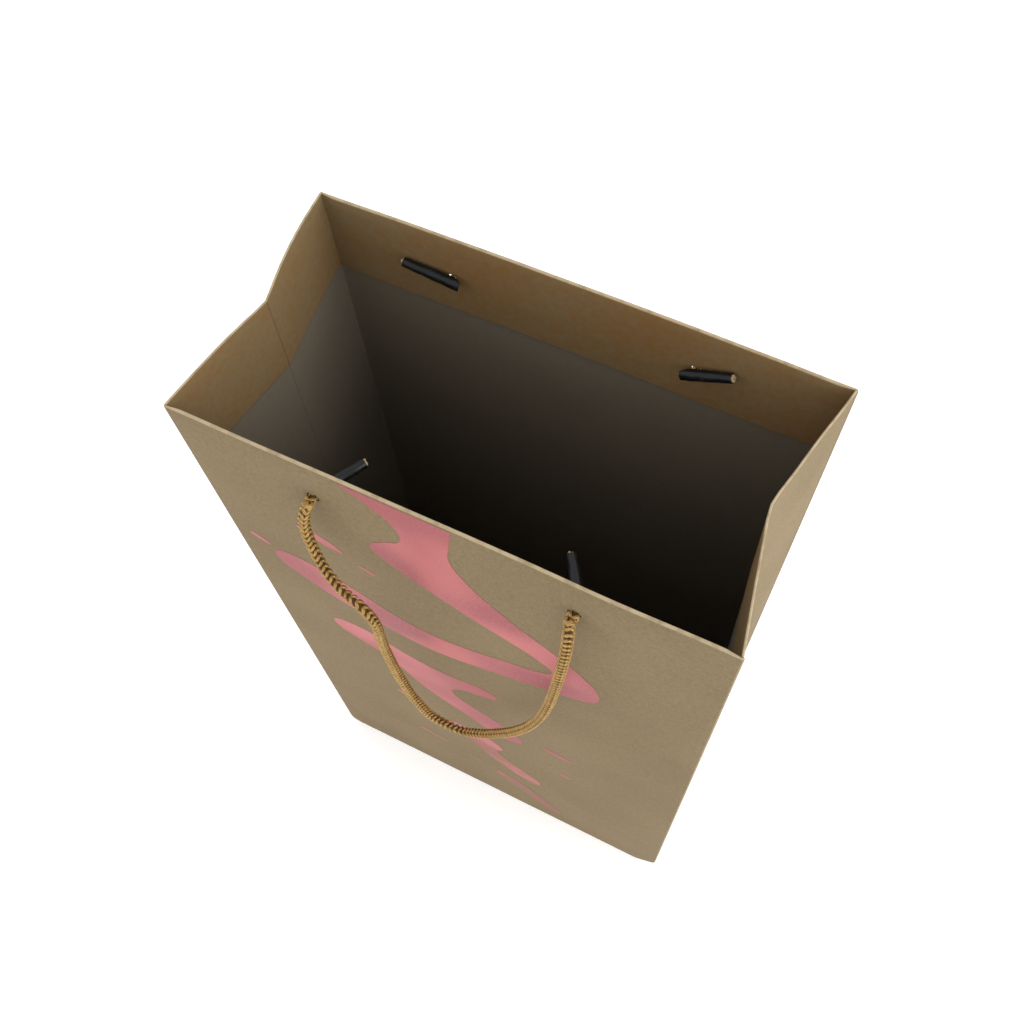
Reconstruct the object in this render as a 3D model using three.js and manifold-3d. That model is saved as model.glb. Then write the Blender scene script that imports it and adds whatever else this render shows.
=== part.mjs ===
// A two-bottle wine gift bag of brown kraft board, with two knitted cord handles.
// Millimetres. X is the width, Y runs from the front panel to the back, Z is up.
// The origin is at the middle of the foot, on the surface that the bag stands on.
import * as THREE from 'three';
import { mergeVertices } from 'three/addons/utils/BufferGeometryUtils.js';
import Module from 'manifold-3d';

// Driving dimensions
const WIDTH = 200;
const DEPTH = 100;
const HEIGHT = 360;
const PAPER = 0.35;
const CARD = 0.6;
const BASE_CARD = 0.8;
const GLUE = 0.1; // between sheets that lie on each other
const GAP = 0.3; // between pieces that only meet
const TURN_IN = 38.5; // depth of the hem folded inside
const LEFT_PINCH = 8; // how far each side's centre crease stands inwards at the rim
const RIGHT_PINCH = 10.5;
const HOLE_SPACING = 95;
const HOLE_HEIGHT = 339;
const HOLE_RADIUS = 2.75;
const CORD_RADIUS = 2.4;
const CORD_END_RADIUS = 0.9; // squeezed inside its sleeve
const SLEEVE_RADIUS = 2.1;
const SLEEVE_BORE = 1.6;

// What follows from them
const HALF_W = WIDTH / 2;
const HALF_D = DEPTH / 2;
const HEM_FOOT = HEIGHT - TURN_IN;
const SECOND = PAPER + GLUE; // from a wall's outer face to its second sheet
const THIRD = SECOND + CARD + GLUE; // and to its third, over the strip of card
const FRONT = -1;
const BACK = 1;
const LEFT = -1;
const RIGHT = 1;

// Clearances that let the walls fold
const CORNER_SHEET = 1.1; // a side sheet starts this far inside a panel's outer face
const CORNER_HEM = 1.8; // and a side's turn-in starts this far
const CREASE_ROOM = 7.2; // each half of a side stops this far short of the centre crease
const HEM_SETBACK = 4; // a panel's turn-in and card stop this far short of the side
const SIDE_FOOT = 5; // height of a side half's lower edge
const TWIST_STEP = 12; // facet height on the twisted sides

const wasm = await Module();
wasm.setup();

const bag = new THREE.Group();

function finish(color, roughness, metalness = 0) {
  return new THREE.MeshStandardMaterial({ color, roughness, metalness });
}

function add(name, geometry, material) {
  const mesh = new THREE.Mesh(geometry, material);
  mesh.name = name;
  bag.add(mesh);
  return mesh;
}

const kraft = () => finish('#a98f68', 0.85);
const innerKraft = () => finish('#8a6d48', 0.88);
const greyBoard = () => finish('#8c8272', 0.9);
const goldCord = () => finish('#a07a35', 0.45);
const blackSleeve = () => finish('#14171a', 0.35);

// A box from its low corner to its high corner.
function block(low, high) {
  const size = high.map((value, i) => value - low[i]);
  const centre = high.map((value, i) => (value + low[i]) / 2);
  return new THREE.BoxGeometry(...size).translate(...centre);
}

// A flat sheet across the bag that stands on edge. Its faces lie `inside` and `inside` plus
// `thickness` in from the outer face of the front or back panel.
function standingSheet(side, halfWidth, bottom, top, inside, thickness) {
  const outline = new THREE.Shape();
  outline.moveTo(-halfWidth, bottom);
  outline.lineTo(halfWidth, bottom);
  outline.lineTo(halfWidth, top);
  outline.lineTo(-halfWidth, top);
  outline.closePath();
  if (top > HOLE_HEIGHT) {
    for (const across of [LEFT, RIGHT]) {
      const hole = new THREE.Path();
      hole.absarc((across * HOLE_SPACING) / 2, HOLE_HEIGHT, HOLE_RADIUS, 0, 2 * Math.PI, true);
      outline.holes.push(hole);
    }
  }
  const sheet = new THREE.ExtrudeGeometry(outline, {
    depth: thickness,
    curveSegments: 6,
    bevelEnabled: false,
  });
  sheet.rotateX(Math.PI / 2);
  const outermost = side * (HALF_D - inside);
  return sheet.translate(0, side === FRONT ? outermost + thickness : outermost, 0);
}

// Half of a side, from beside a panel to near the centre crease. The crease leans inwards
// towards the rim, so the sheet is slightly twisted.
function sideSheet(across, side, start, bottom, top, inside) {
  const length = HALF_D - CREASE_ROOM - start;
  const height = top - bottom;
  const facets = Math.ceil(height / TWIST_STEP);
  const sheet = new THREE.BoxGeometry(PAPER, length, height, 1, 3, facets);
  sheet.translate(
    across * (HALF_W - inside - PAPER / 2),
    side * (HALF_D - start - length / 2),
    bottom + height / 2,
  );
  const pinch = across === LEFT ? LEFT_PINCH : RIGHT_PINCH;
  const places = sheet.getAttribute('position');
  for (let i = 0; i < places.count; i++) {
    const towardsCrease = 1 - Math.abs(places.getY(i)) / HALF_D;
    const upwards = places.getZ(i) / HEIGHT;
    places.setX(i, places.getX(i) - across * pinch * towardsCrease * upwards);
  }
  sheet.computeVertexNormals();
  return sheet;
}

// A round cord of one thickness along hand-chosen points.
function cord(points, radius, steps, sides) {
  const section = new THREE.Shape();
  for (let i = 0; i < sides; i++) {
    const angle = (2 * Math.PI * i) / sides;
    const corner = [radius * Math.cos(angle), radius * Math.sin(angle)];
    if (i === 0) section.moveTo(...corner);
    else section.lineTo(...corner);
  }
  section.closePath();
  const route = new THREE.CatmullRomCurve3(points.map((p) => new THREE.Vector3(...p)), false, 'centripetal');
  return new THREE.ExtrudeGeometry(section, { steps, extrudePath: route, bevelEnabled: false });
}

// Bottom: the side flaps fold in first, then the back flap, then the front flap outermost.
function bottomFlap(name, low, high) {
  add(name, block(low, high), kraft());
}

const FLAP_INSET = 0.75;
const SIDE_FLAP = 47;
const FLAP_OVERLAP = 12;
const edgeX = HALF_W - FLAP_INSET;
const edgeY = HALF_D - FLAP_INSET;
const backFlapZ = PAPER + GLUE;
const sideFlapZ = 2 * (PAPER + GLUE);
const baseCardZ = 3 * (PAPER + GLUE);
bottomFlap('bottom_flap_front', [-edgeX, -edgeY, 0], [edgeX, FLAP_OVERLAP, PAPER]);
bottomFlap('bottom_flap_back', [-edgeX, -FLAP_OVERLAP, backFlapZ], [edgeX, edgeY, backFlapZ + PAPER]);
bottomFlap('bottom_flap_left', [-edgeX, -edgeY, sideFlapZ], [-edgeX + SIDE_FLAP, edgeY, sideFlapZ + PAPER]);
bottomFlap('bottom_flap_right', [edgeX - SIDE_FLAP, -edgeY, sideFlapZ], [edgeX, edgeY, sideFlapZ + PAPER]);
add(
  'base_card',
  block([-edgeX + GAP, -edgeY + GAP, baseCardZ], [edgeX - GAP, edgeY - GAP, baseCardZ + BASE_CARD]),
  greyBoard(),
);

// Front and back panels, each with its strip of card and its turn-in
const PANEL_FOOT = 0.2;
const CARD_FOOT = HEM_FOOT + 1;
const CARD_TOP = HEIGHT - 2;
for (const [side, word] of [[FRONT, 'front'], [BACK, 'back']]) {
  add(`${word}_panel`, standingSheet(side, HALF_W, PANEL_FOOT, HEIGHT, 0, PAPER), kraft());
  add(
    `${word}_top_card`,
    standingSheet(side, HALF_W - HEM_SETBACK, CARD_FOOT, CARD_TOP, SECOND, CARD),
    greyBoard(),
  );
  add(
    `${word}_turn_in`,
    standingSheet(side, HALF_W - HEM_SETBACK, HEM_FOOT, HEIGHT, THIRD, PAPER),
    innerKraft(),
  );
}

// Each side in two halves, with the turn-in of each
for (const [across, sideWord] of [[LEFT, 'left'], [RIGHT, 'right']]) {
  for (const [side, halfWord] of [[FRONT, 'front'], [BACK, 'rear']]) {
    const name = `${sideWord}_side_${halfWord}`;
    add(name, sideSheet(across, side, CORNER_SHEET, SIDE_FOOT, HEIGHT, 0), kraft());
    add(`${name}_turn_in`, sideSheet(across, side, CORNER_HEM, HEM_FOOT, HEIGHT, SECOND), innerKraft());
  }
}

// The strip that closes the sheet into a tube, glued inside the back panel
const SEAM_WIDTH = 15;
const SEAM_FOOT = 4;
const seamOuter = HALF_W - HEM_SETBACK;
add(
  'side_seam_flap',
  block(
    [seamOuter - SEAM_WIDTH, HALF_D - SECOND - PAPER, SEAM_FOOT],
    [seamOuter, HALF_D - SECOND, HEM_FOOT - GAP],
  ),
  kraft(),
);

// Handles. Each point is how far across, how far out from the panel's face, and how high. A
// handle starts and ends on the line that it swings about, just outside its two holes.
const FRONT_ROUTE = [
  [-47.5, 3.3, 339], [-48.3, 5, 336.3], [-49.2, 6.3, 331], [-49, 7.8, 323], [-46.9, 9.5, 314.5],
  [-42.5, 12, 306.5], [-34.5, 14.8, 302], [-27.5, 16.3, 300], [-23.8, 16.8, 294], [-23.2, 16.7, 284],
  [-24.2, 16.4, 271], [-24.6, 16, 252], [-23.4, 15.5, 221], [-19.5, 15, 192], [-12.2, 14, 173.5],
  [-2, 13.2, 170.5], [8, 12.6, 179], [18, 12, 193], [28, 11.5, 211.5], [36.6, 11, 236],
  [42, 10.5, 262], [45, 10, 286], [47, 9.2, 306], [48.2, 7.4, 325], [48, 5.2, 335.2],
  [47.5, 3.3, 339],
];
const BACK_ROUTE = [
  [47.5, 3.3, 339], [47.9, 5, 336.3], [48.3, 6.4, 330.5], [48.2, 8, 318], [46.8, 9.5, 298],
  [44, 10.5, 272], [39.5, 11, 244], [32.5, 11.5, 217], [22.5, 12, 195], [11, 12.2, 181],
  [-1, 12.2, 176], [-13, 12, 181], [-24, 11.6, 195], [-33, 11.2, 217], [-39.5, 10.8, 244],
  [-44, 10.3, 272], [-47, 9.5, 298], [-48.3, 8, 318], [-48.4, 6.4, 330.5], [-47.9, 5, 336.3],
  [-47.5, 3.3, 339],
];
const HANDLE_STEPS = 44;
for (const [side, word, route] of [[FRONT, 'front', FRONT_ROUTE], [BACK, 'back', BACK_ROUTE]]) {
  const points = route.map(([x, out, z]) => [x, side * (HALF_D + out), z]);
  add(`${word}_handle_cord`, cord(points, CORD_RADIUS, HANDLE_STEPS, 10), goldCord());
}

// A cord end comes in through its hole and turns into its sleeve, which is cut off square with
// it at the far end. Each sleeve is given by its two ends: the mouth and the cut end.
const STUB_OUT = 0.4; // how far the cord end reaches out of the hole
const TURN_DEPTH = 2.4; // how deep in the wall it starts to turn
const SLEEVES = [
  { name: 'front_left', side: FRONT, across: LEFT, mouth: [-46.2, -44.6, 338], cut: [-39, -31, 337.5] },
  { name: 'front_right', side: FRONT, across: RIGHT, mouth: [45.9, -44.4, 337.8], cut: [37.5, -31, 335] },
  { name: 'back_left', side: BACK, across: LEFT, mouth: [-40.6, 45.3, 340.2], cut: [-65.6, 45, 342] },
  { name: 'back_right', side: BACK, across: RIGHT, mouth: [42, 45.2, 336.8], cut: [61.5, 45.4, 344.5] },
];
const SLANT = 12; // length of the slanting mouth on a sleeve that lies along its panel
const CORD_END_STEPS = 12;

// A sleeve of the given length along +Z, with its mouth at the origin.
function sleeveTube(length) {
  const wall = [
    new THREE.Vector2(SLEEVE_BORE, 0),
    new THREE.Vector2(SLEEVE_RADIUS, 0),
    new THREE.Vector2(SLEEVE_RADIUS, length),
    new THREE.Vector2(SLEEVE_BORE, length),
    new THREE.Vector2(SLEEVE_BORE, 0),
  ];
  return new THREE.LatheGeometry(wall, 12).rotateX(Math.PI / 2);
}

function toManifold(geometry) {
  const bare = geometry.clone();
  bare.deleteAttribute('normal');
  bare.deleteAttribute('uv');
  const welded = mergeVertices(bare, 1e-4);
  return new wasm.Manifold(
    new wasm.Mesh({
      numProp: 3,
      vertProperties: new Float32Array(welded.getAttribute('position').array),
      triVerts: new Uint32Array(welded.index.array),
    }),
  );
}

function fromManifold(solid) {
  const mesh = solid.getMesh();
  const geometry = new THREE.BufferGeometry();
  geometry.setAttribute('position', new THREE.BufferAttribute(mesh.vertProperties, 3));
  geometry.setIndex(new THREE.BufferAttribute(mesh.triVerts, 1));
  geometry.computeVertexNormals();
  return geometry;
}

// Cuts a sleeve's mouth on the slant, from its tip on the far side to SLANT along it on the side
// that faces the hole.
function slantMouth(tube, tip, along, towardsHole) {
  const across = 2 * SLEEVE_RADIUS;
  const downSlant = along.clone().multiplyScalar(SLANT).addScaledVector(towardsHole, across).normalize();
  const sideways = new THREE.Vector3().crossVectors(downSlant, towardsHole).normalize();
  const offSlant = new THREE.Vector3().crossVectors(sideways, downSlant);
  const middle = tip.clone().addScaledVector(along, SLANT / 2).addScaledVector(offSlant, across);
  const wedge = new THREE.BoxGeometry(2 * SLANT, 2 * across, 2 * across);
  wedge.applyMatrix4(new THREE.Matrix4().makeBasis(downSlant, offSlant, sideways)).translate(...middle);
  return fromManifold(toManifold(tube).subtract(toManifold(wedge)));
}

for (const { name, side, across, mouth, cut } of SLEEVES) {
  const hole = new THREE.Vector3((across * HOLE_SPACING) / 2, side * (HALF_D - TURN_DEPTH), HOLE_HEIGHT);
  const outside = [hole.x, side * (HALF_D + STUB_OUT), hole.z];
  const start = new THREE.Vector3(...mouth);
  const along = new THREE.Vector3(...cut).sub(start);
  const length = along.length();
  along.normalize();
  const turn = new THREE.Quaternion().setFromUnitVectors(new THREE.Vector3(0, 0, 1), along);
  let tube = sleeveTube(length).applyQuaternion(turn).translate(...mouth);
  let route;
  if (side === BACK) {
    // lies along its panel: the cord end turns in through the slanting mouth
    const beside = start.clone().addScaledVector(along, hole.clone().sub(start).dot(along));
    tube = slantMouth(tube, start, along, hole.clone().sub(beside).normalize());
    const inside = start.clone().addScaledVector(along, SLANT);
    route = [outside, hole.toArray(), inside.toArray(), cut];
  } else {
    route = [outside, hole.toArray(), mouth, cut];
  }
  add(`${name}_sleeve`, tube, blackSleeve());
  add(`${name}_cord_end`, cord(route, CORD_END_RADIUS, CORD_END_STEPS, 8), goldCord());
}

export default bag;
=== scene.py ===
# %% [markdown]
# # A wine gift bag in brown kraft board
# The bag is one printed sheet of board, folded into a tube and glued, with its rim turned in
# over strips of card, and two knitted cord handles whose ends wear black plastic sleeves. The
# sizes come from the CAD frame, or are named here in millimetres. This lesson rebuilds each
# sheet, cord and sleeve with the folds, wear and stitches of the real thing.

# %% Load the frame
import math
import random

import bmesh
import bpy
from mathutils import Matrix, Vector


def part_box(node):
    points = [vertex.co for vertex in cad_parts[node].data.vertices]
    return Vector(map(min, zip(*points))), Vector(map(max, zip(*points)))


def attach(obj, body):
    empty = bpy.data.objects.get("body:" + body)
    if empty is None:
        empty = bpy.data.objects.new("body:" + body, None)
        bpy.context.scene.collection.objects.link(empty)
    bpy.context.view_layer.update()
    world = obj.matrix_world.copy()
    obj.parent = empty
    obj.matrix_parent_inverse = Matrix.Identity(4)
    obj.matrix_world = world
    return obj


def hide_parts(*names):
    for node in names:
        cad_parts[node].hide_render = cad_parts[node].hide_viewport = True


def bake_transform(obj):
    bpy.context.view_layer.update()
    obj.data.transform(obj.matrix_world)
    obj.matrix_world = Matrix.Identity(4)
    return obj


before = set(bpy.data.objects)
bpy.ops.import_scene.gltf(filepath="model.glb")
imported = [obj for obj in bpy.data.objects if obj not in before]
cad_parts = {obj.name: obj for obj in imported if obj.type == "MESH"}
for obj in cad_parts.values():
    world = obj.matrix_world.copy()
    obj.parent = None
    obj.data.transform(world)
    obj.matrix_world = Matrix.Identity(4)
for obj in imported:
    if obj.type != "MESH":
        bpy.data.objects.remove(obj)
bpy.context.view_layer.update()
bpy.ops.object.select_all(action="DESELECT")
MM = 0.001

# %% [markdown]
# ## The camera and the light
# The view looks down into the mouth from above the front panel, turned a little to the right
# and tilted by a few degrees, as a hand-held camera is. A plain white floor and sky give soft
# light all round. A lamp at the right makes that side the brightest, and a smaller one at the
# front left throws the front handle's soft shadow across its panel.

# %% Camera
EYE = Vector((0.0983, -0.1645, 0.6589))
AIM = Vector((-0.009, 0.0113, 0.25))
TILT = math.radians(5.45)
SENSOR = 36
LENS = 38.78

bpy.ops.object.camera_add(location=EYE)
camera = bpy.context.object
camera.name = "camera"
camera.rotation_mode = "QUATERNION"
level = (AIM - EYE).to_track_quat("-Z", "Y")
camera.rotation_quaternion = level @ Matrix.Rotation(-TILT, 3, "Z").to_quaternion()
camera.data.sensor_width = SENSOR
camera.data.lens = LENS
bpy.context.scene.camera = camera
print("camera looks along", [round(x, 3) for x in (AIM - EYE).normalized()])

# %% Floor, sky and lamps
SKY = 1.08
FLOOR_WHITE = 0.92
FLOOR_GLOW = 0.25  # lifts the bag's shadow on the floor
LAMP_AIM = Vector((0, 0, 0.2))
LAMPS = {  # place, size and power
    "side_lamp": (Vector((1.2, 0.0, 0.68)), 0.8, 9.0),
    "key_lamp": (Vector((-1.1, -0.8, 0.5)), 0.35, 1.3),
}

bpy.context.scene.view_settings.view_transform = "Standard"
sky = bpy.data.worlds.new("studio_sky")
sky.use_nodes = True
sky.node_tree.nodes["Background"].inputs["Strength"].default_value = SKY
sky.node_tree.nodes["Background"].inputs["Color"].default_value = (1, 1, 1, 1)
bpy.context.scene.world = sky

bpy.ops.mesh.primitive_plane_add(size=12)
floor = bpy.context.object
floor.name = "floor"

floor_paint = bpy.data.materials.new("white_floor")
floor_paint.use_nodes = True
floor_surface = floor_paint.node_tree.nodes["Principled BSDF"]
floor_surface.inputs["Base Color"].default_value = (FLOOR_WHITE, FLOOR_WHITE, FLOOR_WHITE, 1)
floor_surface.inputs["Roughness"].default_value = 0.9
floor_surface.inputs["Emission Color"].default_value = (1, 1, 1, 1)
floor_surface.inputs["Emission Strength"].default_value = FLOOR_GLOW
floor.data.materials.append(floor_paint)

for name, (place, size, power) in LAMPS.items():
    bpy.ops.object.light_add(type="AREA", location=place)
    lamp = bpy.context.object
    lamp.name = name
    lamp.data.size = size
    lamp.data.energy = power
    lamp.rotation_mode = "QUATERNION"
    lamp.rotation_quaternion = (LAMP_AIM - place).to_track_quat("-Z", "Y")

# %% [markdown]
# ## Helpers for modelling
# An operator acts on whatever is selected, so each helper starts by selecting one object, and
# vertices are picked by their place. Every finished piece has its place in its mesh.


# %% Selecting and shaping
def pick(obj):
    bpy.ops.object.select_all(action="DESELECT")
    obj.select_set(True)
    bpy.context.view_layer.objects.active = obj


def open_mesh(obj, mode="VERT"):
    pick(obj)
    bpy.ops.object.mode_set(mode="EDIT")
    bpy.ops.mesh.select_mode(type=mode)
    bpy.ops.mesh.select_all(action="DESELECT")


def close_mesh():
    bpy.ops.object.mode_set(mode="OBJECT")


def select_points(obj, wanted):
    """In edit mode, selects just the vertices whose place passes the test."""
    bpy.ops.mesh.select_all(action="DESELECT")
    shape = bmesh.from_edit_mesh(obj.data)
    for vertex in shape.verts:
        vertex.select = wanted(vertex.co)
    shape.select_flush_mode()
    bmesh.update_edit_mesh(obj.data)


def fix_in_place(obj):
    pick(obj)
    bpy.ops.object.transform_apply(location=True, rotation=True, scale=True)


def apply_modifiers(obj):
    pick(obj)
    for modifier in list(obj.modifiers):
        bpy.ops.object.modifier_apply(modifier=modifier.name)


def move_points(obj, place):
    """Moves every vertex to the place that a function gives for it."""
    for vertex in obj.data.vertices:
        vertex.co = place(vertex.co)
    obj.data.update()


def smoothstep(low, high, value):
    share = min(1.0, max(0.0, (value - low) / (high - low)))
    return share * share * (3 - 2 * share)


# %% [markdown]
# ## The sizes that the frame gives
# The board's outer faces, the rim and the hem come from the boxes of the CAD nodes, so the
# sheets below fold exactly where the model's sheets are.

# %% Sizes
low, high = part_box("front_panel")
HALF_WIDTH = high.x
HALF_DEPTH = -low.y
RIM = high.z
HEM_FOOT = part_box("front_turn_in")[0].z
PAPER = high.y - low.y
HEM_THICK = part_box("front_turn_in")[1].y - low.y
CARD_LOW, CARD_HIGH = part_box("front_top_card")
SIDE_HEM_THICK = 2 * PAPER + 0.1 * MM
CREASE_ROOM = 7.2 * MM  # how far short of its crease each half of a side stops in the frame
CREASE_SHARE = 1 - CREASE_ROOM / HALF_DEPTH
PINCH = {  # how far in each side's crease stands at the rim
    "left": (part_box("left_side_front")[1].x - PAPER + HALF_WIDTH) / CREASE_SHARE,
    "right": (HALF_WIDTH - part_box("right_side_front")[0].x - PAPER) / CREASE_SHARE,
}
CORNER = 0.9 * MM  # outer radius of the folded corners
HOLE_X = 47.5 * MM
HOLE_Z = 339 * MM
HOLE_RADIUS = 2.4 * MM  # snug on the cord
print("board", round(PAPER / MM, 2), "hem", round(HEM_THICK / MM, 2), "pinch", PINCH)


# %% [markdown]
# ## A sheet with a hem
# On the real bag the rim is one sheet folded back on itself, not two sheets. So a sheet starts
# as a standing grid, its top edge is spun half a turn over the fold, and what it leaves selected
# is extruded down as the turn-in. The foot and the corners are spun a quarter turn in the same
# way, which gives real rounded creases. Thickness comes last, with the greyer reverse of the
# board as a second material and the cut edge as a third.

# %% One hemmed sheet
CELL = 5 * MM
FOLD_STEPS = 8
CURL_STEPS = 4
HALF_TURN = math.pi
QUARTER_TURN = math.pi / 2


def near(value, place):
    return abs(value - place) < 0.01 * MM


def standing_grid(name, across, up):
    """A grid facing -Y, between two places across and two heights."""
    width, height = across[1] - across[0], up[1] - up[0]
    bpy.ops.mesh.primitive_grid_add(
        x_subdivisions=max(2, round(width / CELL)),
        y_subdivisions=round(height / CELL),
        size=1,
        location=(sum(across) / 2, 0, sum(up) / 2),
        rotation=(QUARTER_TURN, 0, 0),
    )
    sheet = bpy.context.object
    sheet.name = name
    sheet.scale = (width, height, 1)
    fix_in_place(sheet)
    return sheet


def spin_points(sheet, wanted, centre, axis, angle, steps):
    """Spins an edge by the right-hand rule; the operator itself turns the other way."""
    select_points(sheet, wanted)
    bpy.ops.mesh.spin(steps=steps, angle=-angle, center=centre, axis=axis)


def face_outwards(sheet):
    """Makes an open sheet's normals agree, and face -Y on its outer face."""
    bpy.ops.mesh.select_all(action="SELECT")
    bpy.ops.mesh.remove_doubles(threshold=0.02 * MM)
    bpy.ops.mesh.normals_make_consistent(inside=False)
    shape = bmesh.from_edit_mesh(sheet.data)
    outer = [face for face in shape.faces if near(face.calc_center_median().y, 0)]
    if sum(face.normal.y for face in outer) > 0:
        bpy.ops.mesh.flip_normals()


def thin_hem_ends(sheet, across, hem):
    """The card strip stops short of the corners, so there the hem lies flat on the board."""
    for place in across:
        select_points(sheet, lambda p: near(p.x, place) and p.z > HEM_FOOT - MM and p.y > 0)
        bpy.ops.transform.resize(value=(1, SIDE_HEM_THICK / hem, 1), center_override=(0, 0, 0))


def hemmed_sheet(name, across, foot, hem, curled):
    """A sheet facing -Y at y = 0, folded over at the rim, with its foot curled under."""
    sheet = standing_grid(name, across, (foot + CORNER, RIM - hem / 2))
    open_mesh(sheet)
    fold_top = RIM - hem / 2
    spin_points(
        sheet, lambda p: near(p.z, fold_top), (0, hem / 2, fold_top), (-1, 0, 0), HALF_TURN, FOLD_STEPS
    )
    rows = round((fold_top - HEM_FOOT) / CELL)
    step = (fold_top - HEM_FOOT) / rows
    for _ in range(rows):
        bpy.ops.mesh.extrude_region_move(TRANSFORM_OT_translate={"value": (0, 0, -step)})
    knee = foot + CORNER
    spin_points(
        sheet, lambda p: near(p.z, knee), (0, CORNER, knee), (1, 0, 0), QUARTER_TURN, CURL_STEPS
    )
    if curled:
        thin_hem_ends(sheet, across, hem)
        for place, axis in ((across[0], (0, 0, -1)), (across[1], (0, 0, 1))):
            spin_points(
                sheet, lambda p: near(p.x, place), (place, CORNER, 0), axis, QUARTER_TURN, CURL_STEPS
            )
    face_outwards(sheet)
    close_mesh()
    return sheet


# %% [markdown]
# ## Unevenness and wear
# Board is never quite flat. A clouds texture pushes each sheet by less than a millimetre,
# always at right angles to the sheet, so both layers of a hem move together. A vertex group
# keeps the corners, creases and foot where they are. The two front corners of the foot are
# knocked in, the right one most, as on a bag that has been set down a few times.

# %% Waves and knocked corners
WAVE_EDGE = 22 * MM
FLARE = 12  # how late the bow starts on its way up to the rim


def wave(sheet, across, size, depth, bow):
    """Pushes a sheet that faces -Y in and out, except near its ends and its foot.

    The bow is how far the middle of its rim stands out."""
    free = sheet.vertex_groups.new(name="free")
    for vertex in sheet.data.vertices:
        from_end = min(vertex.co.x - across[0], across[1] - vertex.co.x)
        held = smoothstep(0, WAVE_EDGE, from_end) * smoothstep(0, 2 * WAVE_EDGE, vertex.co.z)
        free.add([vertex.index], held, "REPLACE")
    clouds = bpy.data.textures.new(f"{sheet.name}_clouds", "CLOUDS")
    clouds.noise_scale = size
    clouds.noise_depth = 1
    push = sheet.modifiers.new("wave", "DISPLACE")
    push.texture = clouds
    push.texture_coords = "LOCAL"
    push.direction = "Y"
    push.vertex_group = free.name
    push.mid_level = 0.5
    push.strength = depth
    apply_modifiers(sheet)

    def bowed(point):
        share = min(1.0, max(0.0, (point.x - across[0]) / (across[1] - across[0])))
        out = bow * math.sin(math.pi * share) * (max(0.0, point.z) / RIM) ** FLARE
        return point - Vector((0, out, 0))

    move_points(sheet, bowed)


KNOCKS = (  # place, reach and depth of each knocked corner
    (Vector((HALF_WIDTH, -HALF_DEPTH, 0)), 13 * MM, 4.5 * MM),
    (Vector((-HALF_WIDTH, -HALF_DEPTH, 0)), 7 * MM, 1.2 * MM),
)


def knocked(point):
    for corner, reach, depth in KNOCKS:
        inwards = Vector((-math.copysign(1, corner.x), 0.5, 0.8)).normalized()
        share = max(0.0, 1 - (point - corner).length / reach)
        point = point + inwards * depth * share * share
    return point


def thicken(sheet):
    sheet.data.materials.clear()
    for finish in (kraft, reverse, cut_edge):
        sheet.data.materials.append(finish)
    wall = sheet.modifiers.new("board", "SOLIDIFY")
    wall.thickness = PAPER
    wall.offset = -1
    wall.material_offset = 1
    wall.material_offset_rim = 2
    apply_modifiers(sheet)


def smooth(obj, degrees=40):
    pick(obj)
    bpy.ops.object.shade_smooth_by_angle(angle=math.radians(degrees))


def punch(board, side):
    """Cuts the two cord holes through a finished panel or strip."""
    for across in (-1, 1):
        bpy.ops.mesh.primitive_cylinder_add(
            vertices=24,
            radius=HOLE_RADIUS,
            depth=8 * MM,
            location=(across * HOLE_X, side * (HALF_DEPTH - HEM_THICK / 2), HOLE_Z),
            rotation=(QUARTER_TURN, 0, 0),
        )
        punch_tool = bpy.context.object
        fix_in_place(punch_tool)
        cut = board.modifiers.new("hole", "BOOLEAN")
        cut.operation = "DIFFERENCE"
        cut.solver = "EXACT"
        cut.object = punch_tool
        apply_modifiers(board)
        bpy.data.objects.remove(punch_tool)


# %% [markdown]
# ## The finishes of the board
# Shader maths reads best as plain sums, so a small class wraps a socket and turns an
# expression into Math nodes. Kraft is a tone with slow mottling, fine pale and dark fibres, and
# specks; creases and rims are rubbed paler, because the top fibres break there, and the pale
# line on the rim and corners is also a painted highlight. Faces inside the bag get a warmer
# painted shade, with painted dark shade lines down the side creases and under the hem's foot.

# %% Shader sums
class Wire:
    """A socket of a material's node tree, with arithmetic."""

    def __init__(self, finish, socket):
        self.finish = finish
        self.socket = socket

    def sum(self, operation, *others):
        inputs = {i: value for i, value in enumerate(others)}
        return self.finish.node("ShaderNodeMath", {"operation": operation}, inputs)

    def __add__(self, other):
        return self.sum("ADD", self, other)

    def __sub__(self, other):
        return self.sum("SUBTRACT", self, other)

    def __rsub__(self, other):
        return self.sum("SUBTRACT", other, self)

    def __mul__(self, other):
        return self.sum("MULTIPLY", self, other)

    __radd__ = __add__
    __rmul__ = __mul__

    def size(self):
        return self.sum("ABSOLUTE", self)

    def sine(self):
        return self.sum("SINE", self)

    def least(self, other):
        return self.sum("MINIMUM", self, other)

    def most(self, other):
        return self.sum("MAXIMUM", self, other)

    def ramp(self, low, high):
        """0 below low, 1 above high, and smooth between."""
        settings = {"interpolation_type": "SMOOTHSTEP"}
        return self.finish.node("ShaderNodeMapRange", settings, {0: self, 1: low, 2: high})


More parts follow.
